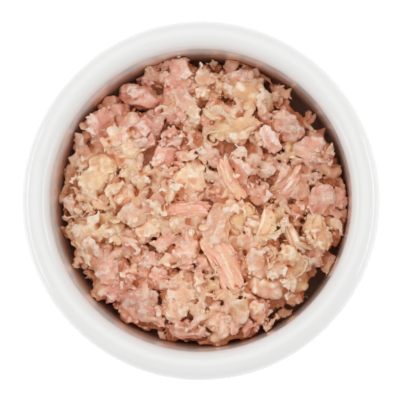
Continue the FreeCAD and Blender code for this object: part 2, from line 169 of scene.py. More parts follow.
# Thin shreds of meat: sizes, points along and around each, how it bows, lies and twists, and how
# far over the heap and over the named pieces it may be
shreds = {
    "count": 20, "length": (3.5, 8.0), "width": (1.7, 3.2), "thick": (0.6, 1.0),
    "stations": 10, "sides": 7, "bow": 0.225,
    "lift": 0.35, "tilt": (-0.5, 0.9), "droop": (-0.9, 0.2), "ragged": 0.28, "twist": (0.9, 0.6),
    "overHeap": 2.0, "overNamed": 0.35,
    "pink": (-0.3, 0.2), "fat": (-0.1, 0.1), "light": (-0.02, 0.1),
}

# Loose crumbs and dabs of jelly
grainTints = {"pink": (-0.3, 0.3), "fat": (-0.1, 0.15), "light": (-0.03, 0.07)}
crumbs = {"count": 700, "radius": (0.28, 0.6), "flat": 0.7, "bumpy": 0.8, **grainTints}
dabs = {"count": 36, "radius": (0.7, 1.6), "flat": 0.42, "bumpy": 0.2, **grainTints}

# Each named piece: how it is torn, then from 0 to 1 how pink and how fatty, and its lightness
looks = {
    "jelly_lump": ("jelly", 0.25, 0.55, 0.98),
    "pink_tongue": ("smooth", 0.75, 0.0, 1.04),
    "pink_block": ("smooth", 0.95, 0.0, 0.92),
    "brown_nugget": ("grainy", 1.0, 0.1, 0.84),
    "upright_flake": ("fibrous", 0.65, 0.0, 1.08),
    "curved_slab": ("smooth", 0.8, 0.0, 1.02),
    "cream_flake": ("grainy", 0.3, 0.15, 1.06),
    "west_clump": ("grainy", 0.75, 0.25, 0.9),
    "cream_slab": ("smooth", 0.2, 0.25, 1.05),
    "north_east_clump": ("grainy", 0.85, 0.15, 0.92),
    "crumb_cake": ("grainy", 0.3, 0.35, 1.05),
    "grain_nugget": ("grainy", 0.8, 0.1, 0.98),
    "bent_flake": ("fibrous", 0.65, 0.1, 0.98),
    "east_nugget": ("grainy", 0.85, 0.0, 0.96),
    "east_chunk": ("smooth", 0.3, 0.35, 1.04),
    "sliver": ("fibrous", 0.55, 0.15, 1.02),
    "pale_shard": ("fibrous", 0.5, 0.0, 1.14),
    "yellow_block": ("smooth", 0.15, 0.55, 1.05),
    "slant_strip": ("fibrous", 0.45, 0.15, 1.06),
    "pale_nugget": ("grainy", 0.3, 0.0, 1.14),
    "pink_strip": ("fibrous", 0.9, 0.0, 1.08),
    "centre_nugget": ("grainy", 0.4, 0.05, 1.12),
    "centre_block": ("grainy", 0.65, 0.0, 1.08),
    "fibre_strip": ("fibrous", 0.75, 0.0, 1.12),
    "amber_jelly": ("jelly", 0.2, 0.75, 0.92),
    "small_nugget": ("grainy", 0.45, 0.1, 1.05),
    "wall_flake": ("smooth", 0.85, 0.0, 1.0),
    "south_west_clump": ("grainy", 0.85, 0.0, 1.0),
    "low_block": ("grainy", 1.0, 0.05, 0.86),
    "south_clump": ("grainy", 0.4, 0.2, 1.03),
    "south_nugget": ("grainy", 0.8, 0.1, 0.95),
    "south_rim_slab": ("smooth", 0.6, 0.1, 1.0),
    "long_slab": ("jelly", 0.55, 0.15, 1.02),
    "slab_tongue": ("smooth", 0.6, 0.1, 1.04),
    "cream_knob": ("grainy", 0.2, 0.4, 1.05),
    "yellow_nugget": ("jelly", 0.3, 0.9, 0.95),
}

# Stretches with a colour of their own: bearing, share of the radius, half width in millimetres,
# then how much pinker, fattier and lighter
zones = [
    (120, 0.75, 15, 0.35, -0.1, -0.02),
    (165, 0.55, 15, -0.3, 0.12, 0.03),
    (70, 0.6, 11, -0.3, 0.25, 0.0),
    (20, 0.65, 16, 0.25, 0.0, -0.03),
    (190, 0.75, 8, -0.1, 0.35, -0.03),
    (230, 0.7, 14, 0.2, 0.0, 0.0),
    (300, 0.55, 14, -0.25, 0.12, 0.02),
    (335, 0.45, 11, -0.3, 0.35, 0.0),
    (260, 0.3, 11, 0.15, 0.0, 0.03),
]

# The rest: width of a patch, then for pink, fat and light the middle value and how far it strays
drift = {"width": 7.5, "tints": ((0.52, 0.4), (0.02, 0.16), (0.97, 0.03))}


# Noise

def hashed(cell, seed):
    # an uneven value from 0 to 1 for each whole-numbered cell
    mixed = cell[..., 0] * np.uint32(73856093)
    mixed = mixed ^ (cell[..., 1] * np.uint32(19349663))
    mixed = mixed ^ (cell[..., 2] * np.uint32(83492791)) ^ np.uint32(seed * 9781 + 1)
    mixed = (mixed ^ (mixed >> np.uint32(15))) * np.uint32(2246822519)
    mixed = (mixed ^ (mixed >> np.uint32(13))) * np.uint32(3266489917)
    return (mixed ^ (mixed >> np.uint32(16))).astype(np.float32) / np.float32(4294967295)


def smoothNoise(points, seed):
    # from -1 to 1, with features about one unit wide
    cell = np.floor(points)
    part = (points - cell).astype(np.float32)
    part = part * part * (3 - 2 * part)
    cell = cell.astype(np.int32).astype(np.uint32)
    total = np.zeros(points.shape[:-1], np.float32)
    for corner in range(8):
        step = np.array([corner & 1, corner >> 1 & 1, corner >> 2], np.uint32)
        weight = np.where(step > 0, part, 1 - part).prod(axis=-1)
        total += weight * hashed(cell + step, seed)
    return 2 * total - 1


def cellNoise(points, seed):
    # distance to the nearest of the spots scattered one to a cell, and that spot's own value
    cell = np.floor(points).astype(np.int32)
    nearest = np.full(points.shape[:-1], 9, np.float32)
    value = np.zeros(points.shape[:-1], np.float32)
    for offset in np.ndindex(3, 3, 3):
        other = cell + (np.array(offset, np.int32) - 1)
        key = other.astype(np.uint32)
        gap = np.zeros_like(nearest)
        for axis in range(3):
            gap += (points[..., axis] - other[..., axis] - hashed(key, seed + 11 + axis)) ** 2
        closer = gap < nearest
        nearest[closer] = gap[closer]
        value[closer] = hashed(key[closer], seed)
    return np.sqrt(nearest), value


def warped(points, size, amount, seed):
    # points pushed about by noise
    shift = [smoothNoise(points / size + 31.7 * axis, seed + axis) for axis in range(3)]
    return points + amount * np.stack(shift, axis=-1)


def tornNoise(points, size, seed):
    # sharp ridges between soft valleys, from 0 to 1
    wide = 1 - np.abs(smoothNoise(points / size, seed))
    narrow = 1 - np.abs(smoothNoise(points / (0.55 * size), seed + 1))
    return 0.6 * wide ** 2 + 0.4 * wide * narrow ** 2


def waves(points, look, seed):
    size, depth = look
    return depth * smoothNoise(points / size, seed)


def folds(points, look, seed):
    size, depth = look
    return depth * (tornNoise(points, size, seed) - 0.4)


def ramp(value, start, end):
    # 0 at the start, 1 at the end, smooth between them
    share = np.clip((value - start) / (end - start), 0, 1)
    return share * share * (3 - 2 * share)


# Blocks of samples that forms are carved from

class Block:
    # a box of evenly spaced samples

    def __init__(self, low, high, step):
        self.low = np.asarray(low, np.float32)
        self.step = step
        self.count = tuple(int(n) + 1 for n in np.ceil((np.asarray(high) - self.low) / step))

    def points(self):
        axes = [low + self.step * np.arange(count, dtype=np.float32)
                for low, count in zip(self.low, self.count)]
        return np.stack(np.meshgrid(*axes, indexing="ij"), axis=-1)

    def distance(self, points, triangles):
        # signed distance to a closed mesh, below zero inside it
        grid = openvdb.FloatGrid.createLevelSetFromPolygons(
            ((points - self.low) / self.step).astype(np.float32),
            triangles=triangles.astype(np.uint32), halfWidth=sculpt["band"] / self.step)
        field = np.empty(self.count, np.float32)
        grid.copyToArray(field)
        return field * self.step

    def read(self, values, points):
        # the samples' values at any points, by the nearest sample
        spot = np.rint((points - self.low) / self.step).astype(int)
        spot = np.clip(spot, 0, np.array(self.count) - 1)
        return values[tuple(spot.T)]

    def spread(self, band, values):
        # samples with these values in the band, and nothing elsewhere
        samples = np.zeros(self.count, np.float32)
        samples[band] = values
        return samples

    def skin(self, field, least, merge=sculpt["merge"]):
        # the surface where the field is zero, as points and triangles that face outwards,
        # without loose specks of fewer triangles than the least
        field = field.copy()
        for axis in range(3):
            edge = [slice(None)] * 3
            for end in (0, -1):
                edge[axis] = end
                field[tuple(edge)] = self.step
        grid = openvdb.FloatGrid(self.step)
        grid.copyFromArray(np.ascontiguousarray(field, np.float32))
        points, triangles, quads = grid.convertToPolygons(0.0, merge)
        faces = np.concatenate([triangles, quads[:, :3], quads[:, [0, 2, 3]]]).astype(np.int64)
        points, faces = islands(self.low + self.step * points, faces, least)
        a, b, c = (points[faces[:, corner]] for corner in range(3))
        inwards = np.einsum("ij,ij->i", np.cross(b - a, c - a), a).sum() < 0
        return points, faces[:, ::-1] if inwards else faces


def nodeMesh(name):
    # a CAD node's points in millimetres, and its triangles
    mesh = frame["nodes"][name].data
    mesh.calc_loop_triangles()
    points = np.empty(len(mesh.vertices) * 3, np.float32)
    mesh.vertices.foreach_get("co", points)
    triangles = np.empty(len(mesh.loop_triangles) * 3, np.int32)
    mesh.loop_triangles.foreach_get("vertices", triangles)
    return points.reshape(-1, 3) / mm, triangles.reshape(-1, 3)


def islands(points, faces, least):
    # leaves out loose specks of fewer faces than the least
    label = np.arange(len(points))
    while True:
        lowest = label[faces].min(axis=1)
        joined = label.copy()
        for corner in range(faces.shape[1]):
            np.minimum.at(joined, faces[:, corner], lowest)
        joined = joined[joined]
        if np.array_equal(joined, label):
            break
        label = joined
    size = np.bincount(label[faces[:, 0]], minlength=len(points))
    faces = faces[size[label[faces[:, 0]]] >= least]
    used = np.unique(faces)
    place = np.zeros(len(points), np.int64)
    place[used] = np.arange(len(used))
    return points[used], place[faces]


def linked(name, data):
    # a new object in the scene
    thing = bpy.data.objects.new(name, data)
    bpy.context.collection.objects.link(thing)
    return thing


def localTint(points):
    # how pink, fatty and light the food is at each point, before each bit's own colour
    tints = np.stack([middle + stray * smoothNoise(points / drift["width"], 201 + index)
                      for index, (middle, stray) in enumerate(drift["tints"])])
    for bearing, reach, half, *change in zones:
        turn = math.radians(bearing)
        gap = np.hypot(points[:, 0] - reach * foodRadius * math.cos(turn),
                       points[:, 1] - reach * foodRadius * math.sin(turn))
        tints += np.outer(change, np.exp(-(gap / half) ** 2))
    return tints


def joinSmoothly(first, second, blend):
    # the union of two distance fields, with a fillet between them
    share = np.clip(0.5 + 0.5 * (second - first) / blend, 0, 1)
    return second + (first - second) * share - blend * share * (1 - share)


def randomTurn(rng, tilt):
    # a rotation matrix: any heading, then a tilt of up to so many degrees
    heading, lean, roll = rng.uniform(-1, 1, 3) * np.radians((180, tilt, tilt))
    turn = Matrix.Rotation(heading, 3, "Z") @ Matrix.Rotation(lean, 3, "Y") @ Matrix.Rotation(
        roll, 3, "X")
    return np.array(turn, np.float32)


def manySided(local, half, rng):
    # distance to a blunt lump with uneven sides, about the origin
    sides = np.concatenate([rng.normal(size=(12, 3)), np.eye(3), -np.eye(3)])
    sides /= np.linalg.norm(sides, axis=1)[:, None]
    sides /= np.append(rng.uniform(0.7, 1.0, 12), np.ones(6))[:, None]
    push = np.maximum((local / half) @ sides.T, 0).astype(np.float32)
    reach = (push ** 10).sum(axis=-1) ** 0.1
    return (reach - 1) * min(half)


def joined(parts):
    # several meshes as one: points, faces and masks
    starts = np.cumsum([0] + [len(part[0]) for part in parts[:-1]])
    faces = [part[1] + start for part, start in zip(parts, starts)]
    rest = [np.concatenate(column) for column in list(zip(*parts))[2:]]
    masks = dict(zip(("pink", "fat", "light", "crease"), rest))
    return np.concatenate([part[0] for part in parts]), np.concatenate(faces), masks


# The map of the food's top

def boxBlur(values, cells):
    # each value becomes the mean of the square or cube around it
    for axis in range(values.ndim):
        edge = [(0, 0)] * values.ndim
        edge[axis] = (cells + 1, cells)
        total = np.moveaxis(np.pad(values, edge, mode="edge").cumsum(axis=axis), axis, 0)
        mean = (total[2 * cells + 1:] - total[:-2 * cells - 1]) / (2 * cells + 1)
        values = np.moveaxis(mean, 0, axis)
    return values


class TopMap:
    # the food's highest level over each small square, seen from above

    def __init__(self, reach):
        self.reach = reach
        self.count = int(2 * reach / sculpt["mapStep"]) + 2
        self.level = np.full((self.count, self.count), -1e3)    # none yet

    def squares(self, points):
        spot = ((points[..., :2] + self.reach) / sculpt["mapStep"]).astype(int)
        spot = np.clip(spot, 0, self.count - 1)
        return spot[..., 0], spot[..., 1]

    def add(self, points):
        np.maximum.at(self.level, self.squares(points), points[:, 2])

    def blurred(self, width):
        # a smooth copy, with empty squares filled from those around
        cells = max(round(width / sculpt["mapStep"]), 1)
        known = self.level > 0
        level, weight = np.where(known, self.level, 0), known.astype(float)
        for _ in range(2):
            level, weight = boxBlur(level, cells), boxBlur(weight, cells)
        return np.where(weight > 1e-3, level / np.maximum(weight, 1e-3), self.level[known].mean())


# Materials

class Nodes:
    # makes the nodes of a tree; each input is a number, a colour or another node's output

    def __init__(self, tree):
        self.tree = tree

    def fill(self, node, inputs):
        for name, value in inputs.items():
            socket = node.inputs[name]
            if isinstance(value, bpy.types.NodeSocket):
                self.tree.links.new(value, socket)
            else:
                socket.default_value = value

    def add(self, kind, inputs=(), **settings):
        node = self.tree.nodes.new(kind)
        for name, value in settings.items():
            setattr(node, name, value)
        self.fill(node, dict(inputs))
        return node

    def maths(self, operation, first, second, clamp=False):
        return self.add("ShaderNodeMath", {0: first, 1: second}, operation=operation,
                        use_clamp=clamp).outputs[0]

    plus = partialmethod(maths, "ADD")
    minus = partialmethod(maths, "SUBTRACT")
    times = partialmethod(maths, "MULTIPLY")

    def mix(self, factor, first, second, blend="MIX"):
        return self.add("ShaderNodeMix", {0: factor, 6: first, 7: second}, data_type="RGBA",
                        blend_type=blend).outputs[2]

    def noise(self, place, scale, detail, roughness=0.5):
        return self.add("ShaderNodeTexNoise", {
            "Vector": place, "Scale": scale, "Detail": detail, "Roughness": roughness}).outputs[0]

    def mapped(self, value, start, end, low, high, kind="LINEAR"):
        # a value from start to end becomes one from low to high
        return self.add("ShaderNodeMapRange", {
            "Value": value, "From Min": start, "From Max": end, "To Min": low, "To Max": high},
            interpolation_type=kind).outputs[0]


def newMaterial(name):
    # a material, its nodes and the one for its surface
    material = bpy.data.materials.new(name)
    material.use_nodes = True
    nodes = Nodes(material.node_tree)
    return material, nodes, nodes.tree.nodes["Principled BSDF"]


meat = {
    "pink": (0.89, 0.40, 0.30, 1),
    "cream": (0.92, 0.65, 0.43, 1),
    "fat": (0.86, 0.54, 0.24, 1),
    # painted highlight: a lighter, paler colour painted where the meat sticks out, standing in for
    # light
    "pale": (1.0, 0.85, 0.73, 1),    # where it sticks out
    # painted shade: a darker, redder colour painted where the meat lies low, in hollows and
    # creases
    "deep": (0.82, 0.31, 0.13, 1),    # where it lies low
    "mottle": 0.26,           # how unevenly the colours are spread
    "patches": 330,           # how fine its patches of colour are
    "specks": 1300,           # and its specks
    "grains": 1500,           # and the grains of its skin
    "bump": 0.85,
    "bumpDepth": 0.0003,      # metres
    "roughness": 0.42,
    "wetter": 0.14,           # off the roughness where it is wet
    "drier": 0.1,
    "scatter": 0.0007,        # metres that light travels in it
    "spread": (1.0, 0.85, 0.75),    # of red, green and blue
    "index": 1.42,
    "coatRoughness": 0.16,
}


def meatGroup():
    # colour, roughness and normal of moist meat from its masks
    group = bpy.data.node_groups.new("moist_meat", "ShaderNodeTree")
    for name in ("Pink", "Fat", "Light", "Pale", "Deep", "Bump"):
        group.interface.new_socket(name, in_out="INPUT", socket_type="NodeSocketFloat")
    for name, kind in (("Color", "NodeSocketColor"), ("Roughness", "NodeSocketFloat"),
                       ("Normal", "NodeSocketVector")):
        group.interface.new_socket(name, in_out="OUTPUT", socket_type=kind)
    nodes = Nodes(group)
    masks = nodes.add("NodeGroupInput").outputs
    place = nodes.add("ShaderNodeTexCoord").outputs["Object"]
    patches = nodes.noise(place, meat["patches"], 4, 0.6)
    specks = nodes.noise(place, meat["specks"], 3, 0.6)
    grains = nodes.add("ShaderNodeTexVoronoi", {"Vector": place, "Scale": meat["grains"]})
    uneven = nodes.times(nodes.minus(patches, 0.5), 4 * meat["mottle"])
    fine = nodes.times(nodes.minus(specks, 0.5), 3 * meat["mottle"])
    pink = nodes.plus(nodes.plus(masks["Pink"], uneven), fine, True)
    fat = nodes.minus(masks["Fat"], uneven, True)
    # painted highlight where the meat sticks out and painted shade where it lies low, each with
    # fine specks
    pale = nodes.times(nodes.plus(masks["Pale"], nodes.times(fine, 0.7)), 0.75, True)
    deep = nodes.plus(masks["Deep"], nodes.times(fine, -0.25), True)
    light = nodes.plus(masks["Light"], nodes.times(fine, 0.45))
    colour = nodes.mix(pink, meat["cream"], meat["pink"])
    for amount, name in ((fat, "fat"), (pale, "pale"), (deep, "deep")):
        colour = nodes.mix(amount, colour, meat[name])
    shade = nodes.add("ShaderNodeCombineColor", {"Red": light, "Green": light, "Blue": light})
    colour = nodes.mix(1.0, colour, shade.outputs[0], "MULTIPLY")
    relief = nodes.minus(specks, nodes.times(grains.outputs["Distance"], 0.5))
    bump = nodes.add("ShaderNodeBump", {
        "Height": relief, "Distance": meat["bumpDepth"], "Strength": masks["Bump"]})
    wet = nodes.mapped(patches, 0.35, 0.65, meat["roughness"] - meat["wetter"],
                       meat["roughness"] + meat["drier"])
    nodes.add("NodeGroupOutput", {"Color": colour, "Roughness": wet, "Normal": bump.outputs[0]})
    return group


def meatMaterial(name, scatter=1.0, coat=0.45, bump=1.0):
    # moist meat; more scatter makes it more jelly-like
    material, nodes, surface = newMaterial(name)
    inputs = {"Bump": meat["bump"] * bump}
    for mask in ("pink", "fat", "light", "pale", "deep"):
        layer = nodes.add("ShaderNodeAttribute", attribute_name=mask)
        inputs[mask.capitalize()] = layer.outputs["Fac"]
    shading = nodes.add("ShaderNodeGroup", node_tree=moistMeat)
    nodes.fill(shading, inputs)
    nodes.fill(surface, {
        "Base Color": shading.outputs["Color"], "Roughness": shading.outputs["Roughness"],
        "Normal": shading.outputs["Normal"], "Subsurface Weight": min(0.5 * scatter, 0.9),
        "Subsurface Radius": meat["spread"], "Subsurface Scale": meat["scatter"] * scatter,
        "IOR": meat["index"], "Coat Weight": coat, "Coat Roughness": meat["coatRoughness"]})
    return material


glazeLook = {
    "colour": (0.86, 0.86, 0.855, 1),
    # painted shade and painted bounce light from the food, on the wall just above it
    "stain": (0.80, 0.42, 0.27, 1),
    "roughness": (0.07, 0.15),
    "bump": 0.05,
    "index": 1.5,
    "coat": (0.3, 0.05),      # how much of it, and how rough
    # the band of painted shade and painted bounce light from the food on the wall: where it starts
    # and is strongest, in metres below the food's top, how uneven its edge is, and how strong it
    # gets, from 0 to 1
    "film": (0.0005, 0.0065, 0.007, 0.9),
    "lip": 0.006,             # metres inside the bowl's radius that it stops
    "inside": 0.0055,         # metres: halfway through the bowl's bottom
}


def glazeMaterial():
    # glossy white glaze, with painted shade and painted bounce light from the food on the wall
    # just above the food
    material, nodes, surface = newMaterial("white_glaze")
    place = nodes.add("ShaderNodeTexCoord").outputs["Object"]
    waves, spots = nodes.noise(place, 45, 2), nodes.noise(place, 260, 4)
    x, y, z = nodes.add("ShaderNodeSeparateXYZ", {"Vector": place}).outputs
    flat = nodes.add("ShaderNodeCombineXYZ", {"X": x, "Y": y}).outputs[0]
    far = nodes.add("ShaderNodeVectorMath", {0: flat}, operation="LENGTH").outputs["Value"]
    start, end, uneven, most = glazeLook["film"]
    height = nodes.plus(z, nodes.times(nodes.minus(spots, 0.5), uneven))
    # the band of painted shade and bounce light, strongest a little below the food's top
    film = nodes.mapped(height, foodTop - start, foodTop - end, 0.0, most, "SMOOTHSTEP")
    within = nodes.times(nodes.maths("LESS_THAN", far, bowlRadius - glazeLook["lip"]),
                         nodes.maths("GREATER_THAN", z, glazeLook["inside"]))
    bump = nodes.add("ShaderNodeBump", {
        "Height": waves, "Distance": 0.001, "Strength": glazeLook["bump"]})
    nodes.fill(surface, {
        "Base Color": nodes.mix(nodes.times(film, within), glazeLook["colour"],
                                glazeLook["stain"]),
        "Normal": bump.outputs[0],
        "Roughness": nodes.mapped(spots, 0, 1, *glazeLook["roughness"]),
        "IOR": glazeLook["index"], "Coat Weight": glazeLook["coat"][0],
        "Coat Roughness": glazeLook["coat"][1]})
    return material


# The mince: the heap without its named pieces

def wallDistance(places):
    # how far each place lies past where the food stops short of the wall
    radius = np.hypot(places[..., 0], places[..., 1])
    return radius - innerRadius(places[..., 2]) + sculpt["wallGap"]


def crumbled(work, swirl, look, seeds):
    # of a crumbly, torn skin: how deep each place is creased, its waves and its crumb's value
    size, depth, more = look["crumbs"]
    distance, crumbValue = cellNoise(swirl / size, seeds[0])
    size, *limits = look["patches"]
    crumbly = ramp(smoothNoise(work / size, seeds[3]), *limits)
    crease = (depth + more * crumbly) * (distance - 0.48)
    size, depth, more = look["tears"]
    crease = crease - (depth + more * crumbly) * (tornNoise(swirl, size, seeds[1]) - 0.45)
    crease = crease - folds(swirl, look["folds"], seeds[2])
    return crease, waves(work, look["waves"], seeds[4]), crumbValue - 0.5


def strewLumps(block, field, places, whole, named, highest):
    # joins uneven lumps to the field along the food's top; tells whose each sample is
    step = block.step
    near = np.abs(whole) < sculpt["band"] * 0.98
    pushed = places.copy()
    pushed[near] = warped(places[near], *lumps["bend"], 5)
    own = np.zeros(block.count, np.float32)
    filled = (whole < 0).any(axis=2)
    grain, rough = lumps["skin"]
    margin = 1.5
    rng = np.random.default_rng(4)
    placed = 0
    while placed < lumps["count"]:
        x, y = rng.uniform(-foodRadius, foodRadius, 2)
        spot = ((np.array((x, y)) - block.low[:2]) / step).astype(int)
        level = highest[spot[0], spot[1]]
        room = innerRadius(block.low[2] + step * level) - lumps["fromWall"] - math.hypot(x, y)
        if (not filled[spot[0], spot[1]] or room < 0
                or named[spot[0], spot[1], max(level - 2, 0)] < -lumps["fromNamed"]):
            continue
        placed += 1
        kind = rng.choice(len(lumps["kinds"]), p=[row[0] for row in lumps["kinds"]])
        _, lengths, widths, thicknesses, tilt = lumps["kinds"][kind]
        radius = rng.uniform(*lengths)
        half = radius * np.array((1, rng.uniform(*widths), rng.uniform(*thicknesses)))
        rise = rng.uniform(*lumps["rise"]) - 0.6 * sculpt["coreSink"]
        centre = np.array((x, y, block.low[2] + step * level + rise))
        low = np.maximum(((centre - radius - margin - block.low) / step).astype(int), 0)
        high = ((centre + radius + margin - block.low) / step).astype(int) + 2
        window = tuple(slice(a, b) for a, b in zip(low, np.minimum(high, block.count)))
        local = (pushed[window] - centre).astype(np.float32) @ randomTurn(rng, tilt)
        lump = manySided(local, half, rng) + rough * smoothNoise(local / grain, placed)
        closer = lump < field[window]
        own[window][closer] = placed
        field[window] = joinSmoothly(field[window], lump, lumps["blend"])
    return own


def fillHollows(block, field, places, whole, named, highest):
    # partly fills the crevices, and makes the mince solid well below the food's top
    filling = boxBlur(np.minimum(field, named), round(sculpt["fillWidth"] / block.step))
    field = joinSmoothly(field, filling + sculpt["fillSink"], 0.3)
    field = np.minimum(field, named + sculpt["namedSink"])
    top = boxBlur(block.low[2] + block.step * highest.astype(float), round(2.5 / block.step))
    under = places[..., 2] - top[..., None] + sculpt["fillDepth"]
    return np.minimum(field, np.maximum(under, whole + 1.0))


def mincedCore():
    # the mince's points, faces and masks
    shapes = {name: nodeMesh(name) for name in ("meat_heap", *looks)}
    top = max(points[:, 2].max() for points, _ in shapes.values())
    block = Block((-foodRadius - 1, -foodRadius - 1, top - sculpt["coreDepth"] - 1),
                  (foodRadius + 1, foodRadius + 1, top + 1.5), sculpt["coreStep"])
    heap = block.distance(*shapes["meat_heap"])
    named = np.full(block.count, sculpt["band"], np.float32)
    for name in looks:
        named = np.minimum(named, block.distance(*shapes[name]))
    whole = np.minimum(heap, named)
    highest = block.count[2] - 1 - np.argmax(whole[:, :, ::-1] < 0, axis=2)
    field = whole + sculpt["coreSink"]
    places = block.points()
    own = strewLumps(block, field, places, whole, named, highest)
    field = fillHollows(block, field, places, whole, named, highest)
    band = np.abs(field) < skins["mince"]["band"]
    work = places[band]
    swirl = warped(work, *skins["mince"]["swirl"], 15)
    crease, broad, crumbValue = crumbled(work, swirl, skins["mince"], (40, 50, 54, 90, 70))
    field[band] += crease + broad
    field = np.maximum(field, wallDistance(places))
    field = np.maximum(field, top - sculpt["coreDepth"] - places[..., 2])
    points, faces = block.skin(field, sculpt["coreLeast"], sculpt["coreMerge"])
    owner = block.read(own, points).astype(int)
    grained = block.read(block.spread(band, crumbValue), points)
    pink, fat, light = localTint(points)
    rng = np.random.default_rng(8)
    each = lumps["count"] + 1
    masks = {
        "pink": pink + rng.uniform(-0.35, 0.35, each)[owner] + 0.25 * grained,
        "fat": fat + 0.6 * (rng.uniform(0, 1, each) ** 3)[owner],
        "light": light + rng.uniform(-0.06, 0.06, each)[owner] + 0.08 * grained,
        "crease": block.read(block.spread(band, crease), points),
    }
    return points, faces, masks


# The named pieces

# Each style gives, for places near a form's surface, how the field changes, how deep each place
# is creased and how much its colour differs; along is the same places in the form's own axes

def grainy(look, places, along, half, seed):
    # crumbly, with a torn skin of small uneven grains
    work = warped(places, *look["swirl"], seed)
    crease, broad, crumbValue = crumbled(work, work, look, [seed + n for n in (3, 5, 6, 8, 9)])
    return crease + broad, crease, crumbValue


def smooth(look, places, along, half, seed):
    # a smooth slab with torn edges, a few creases and small pits
    size, depth = look["cracks"]
    crack = 1 - np.abs(smoothNoise(warped(places, 2.5, 1.0, seed) / size, seed + 1))
    crease = depth * ramp(crack, 0.86, 1.0) - 0.1
    size, *limits = look["patches"]
    rough = 0.25 + 0.75 * ramp(smoothNoise(places / size, seed + 4), *limits)
    size, depth = look["crumbs"]
    crumbs, crumbValue = cellNoise(warped(places, 1.2, 0.4, seed + 2) / size, seed + 3)
    crease = crease + rough * (depth * crumbs - folds(places, look["tears"], seed + 6))
    crease = crease - folds(places, look["folds"], seed + 7)
    change = crease + waves(places, look["waves"], seed + 5) + waves(places, look["ripples"], seed)
    return change, crease, 0.5 * rough * (crumbValue - 0.5)


def fibrous(look, places, along, half, seed):
    # bundles of fibre along the length, frayed at the ends
    bent = along.copy()
    bent[:, 1] += waves(along, look["bend"], seed)
    strands = np.abs(waves(bent, look["strands"], seed + 1))
    crease = 0.5 - strands - np.abs(waves(bent, look["threads"], seed + 2))
    ends = ramp(np.abs(along[:, 0]) / half[0], 0.55, 1.0)
    size, depth = look["frayed"]
    frayed = ends * depth * (smoothNoise(bent / size, seed + 3) - 0.05)
    change = crease + frayed + waves(along, look["waves"], seed + 5)
    return change, crease, 0.8 * (strands - 0.35)


def jelly(look, places, along, half, seed):
    # soft wet lobes
    work = warped(places, *look["swirl"], seed)
    size, depth = look["lobes"]
    lobes, value = cellNoise(work / size, seed + 1)
    crease = depth * lobes * size - 1.15
    return crease + waves(work, look["ripples"], seed + 2), crease, 0.5 * (value - 0.5)


def chipped(field, local, half, seed):
    # cuts flat torn faces off a rounded form
    rng = np.random.default_rng(seed)
    sides = rng.normal(size=(sculpt["chips"], 3))
    sides /= np.linalg.norm(sides, axis=1)[:, None] * half
    limits = rng.uniform(*sculpt["chipReach"], sculpt["chips"]) * np.linalg.norm(
        sides * half, axis=1)
    cuts = (local @ sides.T - limits) / np.linalg.norm(sides, axis=1)
    return np.maximum(field, cuts.max(axis=-1).astype(np.float32))


styles = {"grainy": grainy, "smooth": smooth, "fibrous": fibrous, "jelly": jelly}


def tear(style, block, field, places, local, half, seed):
    # works a form in its style; gives samples of its creases and of its colours' unevenness
    look = skins[style]
    band = np.abs(field) < look["band"]
    change, crease, grain = styles[style](look, places[band], local[band], half, seed)
    field[band] += change
    return block.spread(band, crease), block.spread(band, grain)


def chunk(name, seed):
    # a named piece with its torn surface
    style, pink, fat, light = looks[name]
    points, triangles = nodeMesh(name)
    middle = (points.min(axis=0) + points.max(axis=0)) / 2
    spread = np.cov((points - points.mean(axis=0)).T)
    axes = np.linalg.eigh(spread)[1][:, ::-1]
    half = np.abs((points - middle) @ axes).max(axis=0)
    margin = 2.2
    block = Block(points.min(axis=0) - margin, points.max(axis=0) + margin, sculpt["pieceStep"])
    field = block.distance(points, triangles)
    places = block.points()
    local = (places - middle) @ axes
    if style != "fibrous":
        field = chipped(field, local, half, seed)
    creases, grains = tear(style, block, field, places, local, half, seed)
    field = np.maximum(field, wallDistance(places))
    points, faces = block.skin(field, sculpt["pieceLeast"])
    grained = block.read(grains, points)
    patch = localTint(points)
    masks = {
        "pink": pink + 0.4 * (patch[0] - 0.5) + 0.4 * grained,
        "fat": fat + 0.5 * patch[1] + 0.2 * grained,
        "light": light + (patch[2] - 0.97) + 0.1 * grained,
        "crease": block.read(creases, points),
    }
    return points, faces, masks


# Loose bits, shreds, crumbs and dabs of jelly

def looseForm(kind, rng, seed):
    # one torn bit about the origin: points, faces, creases and grains
    length = rng.uniform(*kind["length"])
    half = length * np.array((1, rng.uniform(*kind["width"]), rng.uniform(*kind["thick"])))
    block = Block(-1.2 * half - 0.9, 1.2 * half + 0.9, sculpt["bitStep"])
    places = block.points()
    field = manySided(warped(places, 2.2, 0.5, seed), half, rng)
    creases, grains = tear("grainy", block, field, places, places, half, seed)
    points, faces = block.skin(field, sculpt["bitLeast"])
    return points, faces, block.read(creases, points), block.read(grains, points)


def tinted(rng, kind, points, grains, creases):
    # what goes with a laid thing's points: its own colour over that of the food around it
    tints = [tint + rng.uniform(*kind[name]) + share * grains for tint, name, share in zip(
        localTint(points), ("pink", "fat", "light"), (0.3, 0.2, 0.1))]
    return *tints, creases


def freeSpot(rng, reach):
    # an even chance of any spot within a circle
    turn = rng.uniform(0, 2 * math.pi)
    far = reach * math.sqrt(rng.uniform())
    return far * math.cos(turn), far * math.sin(turn)


def offWall(points):
    # moves points straight inwards until none is nearer the glaze than the food may be
    over = wallDistance(points).max()
    if over > 0:
        middle = points[:, :2].mean(axis=0)
        points[:, :2] -= over * middle / np.linalg.norm(middle)
    return points


